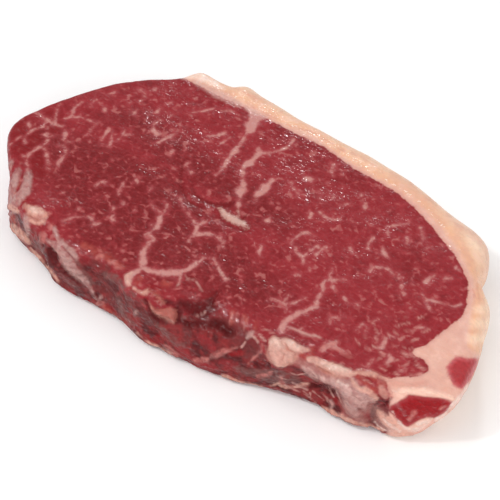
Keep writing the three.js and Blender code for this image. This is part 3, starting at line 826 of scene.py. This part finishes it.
def read_features(piece):
    """How far each point of the skin lies inside each feature of the cut face and of the fat edge."""
    points, normals = skin_arrays(piece.data)
    shell = bmesh.new()
    shell.from_mesh(piece.data)
    tree = BVHTree.FromBMesh(shell)
    shell.free()
    plan = (points + np.array(MIDDLE)) / UNIT
    below = TOP - points[:, 2] / RISE
    fat = depth_in_area(plan[:, :2], FAT_AREA)
    drawn = {"seam": SEAMS, "crease": CREASES, "tendon": TENDONS, "deep": DEEP_TOP, "dull": DULL_TOP}
    found = {name: depth_in_strokes(points / UNIT, [on_top(tree, s) for s in strokes])
             for name, strokes in drawn.items()}
    found["fat"] = fat
    facing = smooth(-normals[:, 1] - 0.4 * np.abs(normals[:, 0]), 0.25, 0.75)
    found["side"] = facing * smooth(below, 1.5, 6) * smooth(-fat, -1, 1)

    seen = faces_camera(points, normals)
    at = in_picture(points)
    outside = depth_in_area(at, OUTSIDE)
    innermost, outermost = RIND[0][0], RIND[-1][0]
    found["rind"] = np.where(seen, outside.clip(innermost, outermost), outermost)
    # Painted highlight: a band along the fat's arris, where it starts to round, that the material sows with
    # pale glints.
    band = smooth(outside, -2, 0.5) * smooth(outside, 7, 3) * smooth(plan[:, 0], 78, 60)
    found["arris_glints"] = np.where(seen, band, 0)
    found["gloss"] = np.where(seen, smooth(depth_in_strokes(at, GLOSS), -1, 1.5), 0)
    return found


def faces_camera(points, normals):
    """Whether each point of the skin is turned towards the camera."""
    eye = np.array(AIM + camera_axes()[2] * DISTANCE)
    return ((eye - points) * normals).sum(axis=1) > 0


def read_tissues(points, normals):
    """How far each point lies inside each island of lean and each tissue, as the camera sees them."""
    at = in_picture(points)
    seen = faces_camera(points, normals)
    stray = SHORT_STRAY * crags(points, 1.6, 7) + LONG_STRAY * crags(points, 5, 8)
    islands = [depth_in_area(at, corners) + 0.5 * stray for corners, _, _ in ISLANDS]
    tissues = [depth_in_strokes(at, tissue[0]) + stray * min(1, tissue[2]) for tissue in TISSUES]
    return [[np.where(seen, depth, FAR_OUTSIDE) for depth in group] for group in (islands, tissues)]


def raise_relief(piece, found, height):
    """Moves the skin by the fine relief: fibre bundles, grooves, lumps of fat and folds of skin."""
    points, normals = skin_arrays(piece.data)
    flat = np.abs(normals[:, 2])
    lean = smooth(-found["fat"], -0.5, 1.5)
    lift = lean * lumps(points, LEAN_RELIEF) + (1 - lean) * lumps(points, FAT_RELIEF)
    lift += found["gloss"] * lumps(points, POOL_RELIEF) + found["side"] * lumps(points, FRONT_RELIEF)
    lift += TENDON_HEIGHT * smooth(found["tendon"], -0.4, 1.1)
    lift -= CREASE_DEPTH * smooth(found["crease"], -1.0, 0.5)
    lift -= SEAM_DEPTH * smooth(found["seam"], -0.9, 0.6) * lean
    lift -= FAT_LINE_DEPTH * smooth(1.2 - np.abs(found["fat"]), 0, 1.2) * flat
    uneven = 1 + LUMPY * crags(points, 3.2, 12)
    for depth, (_, _, soft, stand, _, _) in zip(read_tissues(points, normals)[1], TISSUES):
        lift += stand * smooth(depth, -soft, 2.0 + soft) * uneven
    off_sole = smooth(points[:, 2] / RISE, 0.3, 2.0)
    moved = points + normals * (lift * off_sole * height)[:, None]
    moved[:, 2] = np.maximum(moved[:, 2], 0)
    piece.data.vertices.foreach_set("co", moved.ravel())
    piece.data.update()


def store_features(piece, found):
    """Keeps each feature as a value on the skin's points, for the material.

    The islands, the tissues and the painted shade and highlights among them become one tint, already dimmed
    by how much of the skin they cover.
    """
    mesh = piece.data
    points, normals = skin_arrays(mesh)
    patches = smooth(crags(points, 6, 9) + 0.5 * crags(points, 2, 10), -0.4, 0.5)[:, None]
    cover = found["side"].copy()
    tint = np.array(linear(FRONT_LEAN[0])) * patches + np.array(linear(FRONT_LEAN[1])) * (1 - patches)
    tint *= cover[:, None]
    islands, tissues = read_tissues(points, normals)
    veil = smooth(crags(points, 2.2, 11), -0.5, 0.35)
    layers = []
    for depth, (_, rim, middle) in zip(islands, ISLANDS):
        layers += [(smooth(depth, -1.8, 1.0), rim), (0.9 * smooth(depth, 0.5, 5.0), middle)]
    for depth, (_, code, soft, _, strength, patchy) in zip(tissues, TISSUES):
        layers.append((strength * smooth(depth, -soft, soft) * (1 - patchy * (1 - veil)), code))
    for share, code in layers:
        tint += (np.array(linear(code)) - tint) * share[:, None]
        cover += (1 - cover) * share
    found["cover"] = cover
    for name, values in found.items():
        layer = mesh.attributes.new(name, "FLOAT", "POINT")
        layer.data.foreach_set("value", values.astype(np.float32))
    layer = mesh.attributes.new("tint", "FLOAT_COLOR", "POINT")
    layer.data.foreach_set("color", np.column_stack([tint, np.ones(len(tint))]).astype(np.float32).ravel())


def unfold(piece):
    """A UV map in millimetres: the cut faces from above, and the side folded out flat round them."""
    mesh = piece.data
    points, normals = skin_arrays(mesh)
    corners = np.empty(len(mesh.loops), np.int32)
    mesh.loops.foreach_get("vertex_index", corners)
    face_of = np.repeat(np.arange(len(mesh.polygons)), [len(p.vertices) for p in mesh.polygons])
    face_normals = np.empty(len(mesh.polygons) * 3)
    mesh.polygon_normals.foreach_get("vector", face_normals)
    down = face_normals.reshape(-1, 3)[face_of, 2] < -0.75
    drop = (TOP * RISE - points[:, 2])[corners]
    out = normals[corners, :2] * drop[:, None]
    out[down] = 0
    flat = (points[corners, :2] + out) * 1000
    layer = mesh.uv_layers.new(name="unfolded")
    layer.uv.foreach_set("vector", flat.astype(np.float32).ravel())


def add(tree, kind, inputs=(), **settings):
    """Adds a node with its settings. An input is a value, or the output that it is linked from."""
    node = tree.nodes.new(kind)
    for name, value in settings.items():
        setattr(node, name, value)
    for key, value in dict(inputs).items():
        if isinstance(value, bpy.types.NodeSocket):
            tree.links.new(value, node.inputs[key])
        else:
            node.inputs[key].default_value = value
    return node


def paint(tree, under, over, depth, edge, strength=1.0):
    """Lays a colour over another where depth is above the edge's start, fading in to its end."""
    cover = add(tree, "ShaderNodeMapRange", {0: depth, 1: edge[0], 2: edge[1], 3: 0.0, 4: strength},
                interpolation_type="SMOOTHSTEP").outputs[0]
    over = (*over, 1) if isinstance(over, tuple) else over
    return add(tree, "ShaderNodeMix", {0: cover, 6: under, 7: over}, data_type="RGBA").outputs[2]


def wobbled(tree, name, wobble):
    """A feature's depth with its edge made uneven."""
    depth = add(tree, "ShaderNodeAttribute", attribute_name=name).outputs["Fac"]
    return add(tree, "ShaderNodeMath", {0: depth, 1: wobble}, operation="ADD").outputs[0]


def network(tree, place, cell, swell, share):
    """Depth in the fat between bundles of fibre, in millimetres: threads that swell where they meet.

    The bundles are cells of that size. The fat swells and fades over that length, in that share of the lean.
    """
    gaps = add(tree, "ShaderNodeTexVoronoi", {"Vector": place, "Scale": 1 / cell}, voronoi_dimensions="2D",
               feature="DISTANCE_TO_EDGE")
    shifted = add(tree, "ShaderNodeMapping", {"Vector": place, "Location": (cell * 7, cell * 3, 0)})
    fullness = add(tree, "ShaderNodeTexNoise", {
        "Vector": shifted.outputs[0], "Scale": 1 / swell, "Detail": 1.5}, noise_dimensions="2D")
    half = add(tree, "ShaderNodeMapRange", {0: fullness.outputs[0], 1: 0.62 - share, 2: 0.82 - share * 0.6,
                                            3: -0.3, 4: cell * 0.17})
    return add(tree, "ShaderNodeMath", {0: gaps.outputs[0], 1: -cell, 2: half.outputs[0]},
               operation="MULTIPLY_ADD").outputs[0]


def specks(tree, place, cell, radius, share):
    """Depth in round specks of fat, in millimetres: one in that share of the cells of that size."""
    nearest = add(tree, "ShaderNodeTexVoronoi", {"Vector": place, "Scale": 1 / cell}, voronoi_dimensions="2D")
    lot = add(tree, "ShaderNodeSeparateColor", {0: nearest.outputs["Color"]}).outputs[0]
    reach = add(tree, "ShaderNodeMapRange", {0: lot, 1: 1 - share, 2: 1.0, 3: 0.0, 4: radius}, clamp=False)
    return add(tree, "ShaderNodeMath", {0: nearest.outputs["Distance"], 1: -cell, 2: reach.outputs[0]},
               operation="MULTIPLY_ADD").outputs[0]


def rough_noise(tree, place, size, detail=2.0, stretch=(1, 1, 1)):
    """Noise of 0 to 1 with patches of that size in millimetres, drawn out by the stretch."""
    laid = add(tree, "ShaderNodeMapping", {"Vector": place, "Scale": tuple(1 / (size * s) for s in stretch)})
    patches = add(tree, "ShaderNodeTexNoise", {"Vector": laid.outputs[0], "Scale": 1.0, "Detail": detail})
    return patches.outputs[0]


def centred(tree, value, width):
    """A 0 to 1 value as one of minus to plus half the width."""
    moved = add(tree, "ShaderNodeMath", {0: value, 1: width, 2: -width / 2}, operation="MULTIPLY_ADD")
    return moved.outputs[0]


def uneven_fields(tree):
    """The coordinates in millimetres and the uneven fields that the finishes of the steak share."""
    place = add(tree, "ShaderNodeUVMap", uv_map="unfolded").outputs[0]
    body = add(tree, "ShaderNodeTexCoord").outputs["Object"]
    body = add(tree, "ShaderNodeVectorMath", {0: body, 3: 1000.0}, operation="SCALE").outputs[0]
    return SimpleNamespace(
        place=place, body=body,
        fine=rough_noise(tree, body, 1.1),
        middle=rough_noise(tree, body, 4.5, 3.0),
        slow=rough_noise(tree, body, 26, 2.0),
        wobble=centred(tree, rough_noise(tree, body, 1.2, 3.0), 2.4),
        broad=centred(tree, rough_noise(tree, body, 5.0, 3.0), 6.0),
        streaks=rough_noise(tree, place, 1.3, 2.0, (5, 1, 1)))


def lean_colour(tree, looks, fields):
    """Lean: a fresh red that turns duller in patches, with fine darker grain."""
    dull = tuple(looks.lean_dull)
    colour = paint(tree, (*looks.lean_fresh, 1), dull, fields.slow, (0.5, 0.7), 0.4)
    colour = paint(tree, colour, dull, wobbled(tree, "dull", fields.broad), (-7.0, 6.0), 0.85)
    colour = paint(tree, colour, linear("6c1419"), fields.middle, (0.5, 0.75), 0.45)
    colour = paint(tree, colour, linear("a83f44"), fields.middle, (0.48, 0.2), 0.35)
    return paint(tree, colour, linear("a03a3f"), fields.fine, (0.5, 0.8), 0.3)


def with_marbling(tree, looks, fields, colour):
    """Fat within the lean: specks and nets at two sizes each, a haze with a paler speck or thread in it."""
    turned = add(tree, "ShaderNodeMapping", {
        "Vector": fields.place, "Rotation": (0, 0, -0.6), "Scale": (0.85, 1.05, 1)}).outputs[0]
    drift = add(tree, "ShaderNodeTexNoise", {"Vector": turned, "Scale": 0.45, "Detail": 2.0})
    spots = add(tree, "ShaderNodeVectorMath", {0: drift.outputs["Color"], 1: (2.6, 2.6, 0), 2: turned},
                operation="MULTIPLY_ADD").outputs[0]
    gap = looks.fleck_gap * 1000
    # Each kind of marbling: its depth, how strong its haze is, and how strong its paler middle is.
    kinds = (
        (specks(tree, spots, gap * 0.5, 0.5, 0.35), 0.3, 0.5),
        (network(tree, spots, gap * 0.7, gap * 0.6, 0.01), 0.2, 0.25),
        (specks(tree, spots, gap * 0.95, 0.75, 0.3), 0.4, 0.65),
        (network(tree, spots, gap * 1.3, gap * 0.9, 0.04), 0.35, 0.55),
    )
    for depth, haze, thread in kinds:
        colour = paint(tree, colour, linear("a94247"), depth, (-1.0, 0.3), haze)
        colour = paint(tree, colour, tuple(looks.marbling), depth, (-0.4, 0.6), thread)
    return colour


def with_creases_and_seams(tree, looks, fields, colour):
    """Wet, deep red stretches and creases, the creases darker still with painted shade, and seams of fat:
    wide ones are opaque, hairlines are half covered by lean.
    """
    colour = paint(tree, colour, linear("7c1418"), wobbled(tree, "deep", fields.broad), (-1.5, 2.5), 0.7)
    # Painted shade: the creases darkened to a deep red.
    colour = paint(tree, colour, linear("6d1418"), wobbled(tree, "crease", fields.wobble), (-0.7, 0.6), 0.85)
    seam = wobbled(tree, "seam", centred(tree, rough_noise(tree, fields.body, 2.6, 2.5), 3.0))
    colour = paint(tree, colour, linear("a4484c"), seam, (-1.7, 0.4), 0.55)
    return paint(tree, colour, tuple(looks.seam), seam, (-0.5, 1.05), 0.9)


def with_fat_edge(tree, fields, colour):
    """The fat edge: pinkish and glassy on the cut face, and peach to cream over its rounded outside, with
    painted glints along its arris.
    """
    fat = wobbled(tree, "fat", centred(tree, rough_noise(tree, fields.body, 2.2, 3.0), 1.8))
    rind = wobbled(tree, "rind", fields.broad)
    innermost, outermost = RIND[0][0], RIND[-1][0]
    across = add(tree, "ShaderNodeMapRange", {0: rind, 1: float(innermost), 2: float(outermost)})
    bands = add(tree, "ShaderNodeValToRGB", {0: across.outputs[0]})
    for _ in RIND[2:]:
        bands.color_ramp.elements.new(0.5)
    for element, (depth, code) in zip(bands.color_ramp.elements, RIND):
        element.position = (depth - innermost) / (outermost - innermost)
        element.color = (*linear(code), 1)
    layered = paint(tree, bands.outputs[0], linear("dd9f84"), fields.streaks, (0.5, 0.8), 0.3)
    layered = paint(tree, layered, linear("eec4b2"), fields.middle, (0.5, 0.7), 0.5)
    layered = paint(tree, layered, linear("cf9282"), fields.slow, (0.5, 0.35), 0.3)
    layered = paint(tree, layered, linear("cc9486"), fields.middle, (0.55, 0.25), 0.4)
    layered = paint(tree, layered, linear("cb9186"), fat, (1.8, 0.0), 0.7)
    # Painted highlight: near-white glints sown along the fat's arris.
    arris_glints = wobbled(tree, "arris_glints", rough_noise(tree, fields.body, 0.8, 1.0))
    layered = paint(tree, layered, linear("fbe6d6"), arris_glints, (1.58, 1.7), 0.7)
    return paint(tree, colour, layered, fat, (-0.35, 0.45))


def with_tissues(tree, fields, colour):
    """The tissues' tint, with painted shade and highlights among it, over what they leave bare, streaked and
    finely mottled, and the end of tendon with painted shade round its foot.
    """
    tint = add(tree, "ShaderNodeAttribute", attribute_name="tint").outputs["Color"]
    cover = add(tree, "ShaderNodeAttribute", attribute_name="cover").outputs["Fac"]
    shade = add(tree, "ShaderNodeMath", {0: fields.streaks, 1: fields.fine}, operation="ADD")
    shade = add(tree, "ShaderNodeMapRange", {0: shade.outputs[0], 1: 0.7, 2: 1.3, 3: 0.86, 4: 1.14})
    tint = add(tree, "ShaderNodeVectorMath", {0: tint, 3: shade.outputs[0]}, operation="SCALE").outputs[0]
    bare = add(tree, "ShaderNodeMix", {0: cover, 6: colour, 7: (0, 0, 0, 1)}, data_type="RGBA").outputs[2]
    colour = add(tree, "ShaderNodeVectorMath", {0: bare, 1: tint}, operation="ADD").outputs[0]
    tendon = wobbled(tree, "tendon", fields.wobble)
    # Painted shade: a dark red rim round the foot of the tendon.
    colour = paint(tree, colour, linear("7a1b1f"), tendon, (-1.6, 0.0), 0.6)
    return paint(tree, colour, linear("cba195"), tendon, (-0.6, 1.2), 0.92)


def juice(tree, fields):
    """A thin film of juice, with beads and runs of it along the fibres and pools that catch the light."""
    dampness = rough_noise(tree, fields.body, 1.5, 3.0)
    dull = add(tree, "ShaderNodeMapRange", {0: dampness, 1: 0.3, 2: 0.7, 3: 0.34, 4: 0.62})
    grain = add(tree, "ShaderNodeMath", {0: fields.fine, 1: fields.streaks}, operation="ADD")
    bump = add(tree, "ShaderNodeBump", {"Height": grain.outputs[0], "Strength": 0.35, "Distance": 0.0006})
    runs = rough_noise(tree, fields.body, 0.7, 1.0, (3, 1, 1))
    beads = add(tree, "ShaderNodeBump", {"Height": runs, "Strength": 1.0, "Distance": 0.0002})
    film = add(tree, "ShaderNodeMapRange", {0: runs, 1: 0.6, 2: 0.68, 3: 0.08, 4: 0.8}).outputs[0]
    pools = add(tree, "ShaderNodeAttribute", attribute_name="gloss").outputs["Fac"]
    film = add(tree, "ShaderNodeMath", {0: film, 1: pools}, operation="ADD", use_clamp=True)
    return {"Roughness": dull.outputs[0], "Normal": bump.outputs[0], "Coat Weight": film.outputs[0],
            "Coat Normal": beads.outputs[0]}


def raw_beef(looks):
    """Raw beef, cut across the grain: moist lean, with fat and skin on the same surface.

    Lean reads as dull red with fine pale flecks, because its juice is thin and the cut fibres scatter light.
    Its fat is matt cream, yellower where air has reached it, and the skin on its side is a grey, wet film.
    Shade in its creases and hollows, and highlights on its lumps and along the fat's arris, are painted into
    its colour.
    """
    material = bpy.data.materials.new("raw_beef_cut_surface")
    material.use_nodes = True
    tree = material.node_tree
    tree.nodes.clear()
    fields = uneven_fields(tree)
    colour = lean_colour(tree, looks, fields)
    colour = with_marbling(tree, looks, fields, colour)
    colour = with_creases_and_seams(tree, looks, fields, colour)
    colour = with_fat_edge(tree, fields, colour)
    colour = with_tissues(tree, fields, colour)
    shader = add(tree, "ShaderNodeBsdfPrincipled", {
        **juice(tree, fields), "Base Color": colour, "IOR": 1.4, "Specular IOR Level": 0.12,
        "Subsurface Weight": 0.12, "Subsurface Radius": (1.0, 0.35, 0.2), "Subsurface Scale": 0.0015,
        "Coat Roughness": 0.1})
    out = add(tree, "ShaderNodeOutputMaterial")
    tree.links.new(shader.outputs[0], out.inputs[0])
    return material


def plain(name, code, roughness):
    """A plain matt material for the stage."""
    material = bpy.data.materials.new(name)
    material.use_nodes = True
    shader = material.node_tree.nodes["Principled BSDF"]
    shader.inputs["Base Color"].default_value = (*linear(code), 1)
    shader.inputs["Roughness"].default_value = roughness
    return material


def paper_floor():
    """A sheet of matt paper that reaches out of the picture."""
    sheet = bmesh.new()
    bmesh.ops.create_grid(sheet, x_segments=1, y_segments=1, size=FLOOR)
    mesh = bpy.data.meshes.new("floor")
    sheet.to_mesh(mesh)
    sheet.free()
    mesh.materials.append(plain("matt_paper", "fbfbfb", 0.9))
    return bpy.data.objects.new("floor", mesh)


def white_room():
    """Even white light from all round."""
    world = bpy.data.worlds.new("studio")
    world.use_nodes = True
    background = world.node_tree.nodes["Background"]
    background.inputs[0].default_value = (1, 1, 1, 1)
    background.inputs[1].default_value = ROOM
    return world


def soft_lamp(name, spot, size, watts):
    """A square lamp at that place, turned to the steak."""
    light = bpy.data.lights.new(name, "AREA")
    light.size = size
    light.energy = watts
    lamp = bpy.data.objects.new(name, light)
    lamp.location = spot
    lamp.rotation_mode = "QUATERNION"
    lamp.rotation_quaternion = (-spot).to_track_quat("-Z", "Y")
    return lamp


def photo_camera():
    """A camera at the photograph's angle and distance."""
    lens = bpy.data.cameras.new("camera")
    lens.sensor_width = SENSOR
    lens.lens = LENS
    back = camera_axes()[2]
    camera = bpy.data.objects.new("camera", lens)
    camera.location = AIM + back * DISTANCE
    camera.rotation_mode = "QUATERNION"
    camera.rotation_quaternion = (-back).to_track_quat("-Z", "Y")
    return camera


class SteakLooks(bpy.types.PropertyGroup):
    """Sizes and colours of the steak."""
    lean_fresh: bpy.props.FloatVectorProperty(
        name="Fresh lean", description="Lean that has just been cut", subtype="COLOR", size=3, min=0, max=1,
        default=linear("8b252b"))
    lean_dull: bpy.props.FloatVectorProperty(
        name="Dull lean", description="Lean that air has browned a little", subtype="COLOR", size=3, min=0,
        max=1, default=linear("701a1d"))
    marbling: bpy.props.FloatVectorProperty(
        name="Marbling", description="Flecks of fat within the lean", subtype="COLOR", size=3, min=0, max=1,
        default=linear("b16c67"))
    seam: bpy.props.FloatVectorProperty(
        name="Seams", description="Wide seams of fat in the lean", subtype="COLOR", size=3, min=0, max=1,
        default=linear("c28881"))
    fleck_gap: bpy.props.FloatProperty(
        name="Fleck spacing", description="From one larger fleck of fat to the next", unit="LENGTH",
        min=0.001, max=0.02, default=0.0048)
    relief: bpy.props.FloatProperty(
        name="Relief", description="How high the fine relief stands, against the measured one", min=0, max=3,
        default=1)


class STEAK_OT_slab(bpy.types.Operator):
    """Build the raw steak over the frame's plain solid"""
    bl_idname = "steak.slab"
    bl_label = "Steak"

    def execute(self, context):
        looks = context.scene.steak_looks
        piece = smoothed_copy(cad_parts["steak"], "raw_steak")
        found = read_features(piece)
        raise_relief(piece, found, looks.relief * UNIT)
        store_features(piece, found)
        unfold(piece)
        piece.data.polygons.foreach_set("use_smooth", [True] * len(piece.data.polygons))
        piece.data.materials.clear()
        piece.data.materials.append(raw_beef(looks))
        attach(piece, "root")
        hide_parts("steak")
        return {"FINISHED"}


class STEAK_OT_stage(bpy.types.Operator):
    """Lay a pale floor, hang soft lights and set up the camera"""
    bl_idname = "steak.stage"
    bl_label = "Floor, light and camera"

    def execute(self, context):
        scene = context.scene
        floor = paper_floor()
        scene.collection.objects.link(floor)
        scene.world = white_room()
        for name, (spot, size, watts) in LAMPS.items():
            scene.collection.objects.link(soft_lamp(name, Vector(spot), size, watts))
        scene.camera = photo_camera()
        scene.collection.objects.link(scene.camera)
        scene.view_settings.view_transform = "Standard"
        return {"FINISHED"}


class STEAK_PT_panel(bpy.types.Panel):
    """The steak's looks and the buttons that build it"""
    bl_label = "Raw sirloin steak"
    bl_space_type = "VIEW_3D"
    bl_region_type = "UI"
    bl_category = "Steak"

    def draw(self, context):
        for name in ("lean_fresh", "lean_dull", "marbling", "seam", "fleck_gap", "relief"):
            self.layout.prop(context.scene.steak_looks, name)
        self.layout.operator("steak.slab")
        self.layout.operator("steak.stage")


CLASSES = (SteakLooks, STEAK_OT_slab, STEAK_OT_stage, STEAK_PT_panel)


def register():
    for cls in CLASSES:
        bpy.utils.register_class(cls)
    bpy.types.Scene.steak_looks = bpy.props.PointerProperty(type=SteakLooks)


def unregister():
    del bpy.types.Scene.steak_looks
    for cls in reversed(CLASSES):
        bpy.utils.unregister_class(cls)


def main():
    register()
    bpy.ops.steak.slab()
    bpy.ops.steak.stage()


if __name__ == "__main__":
    main()
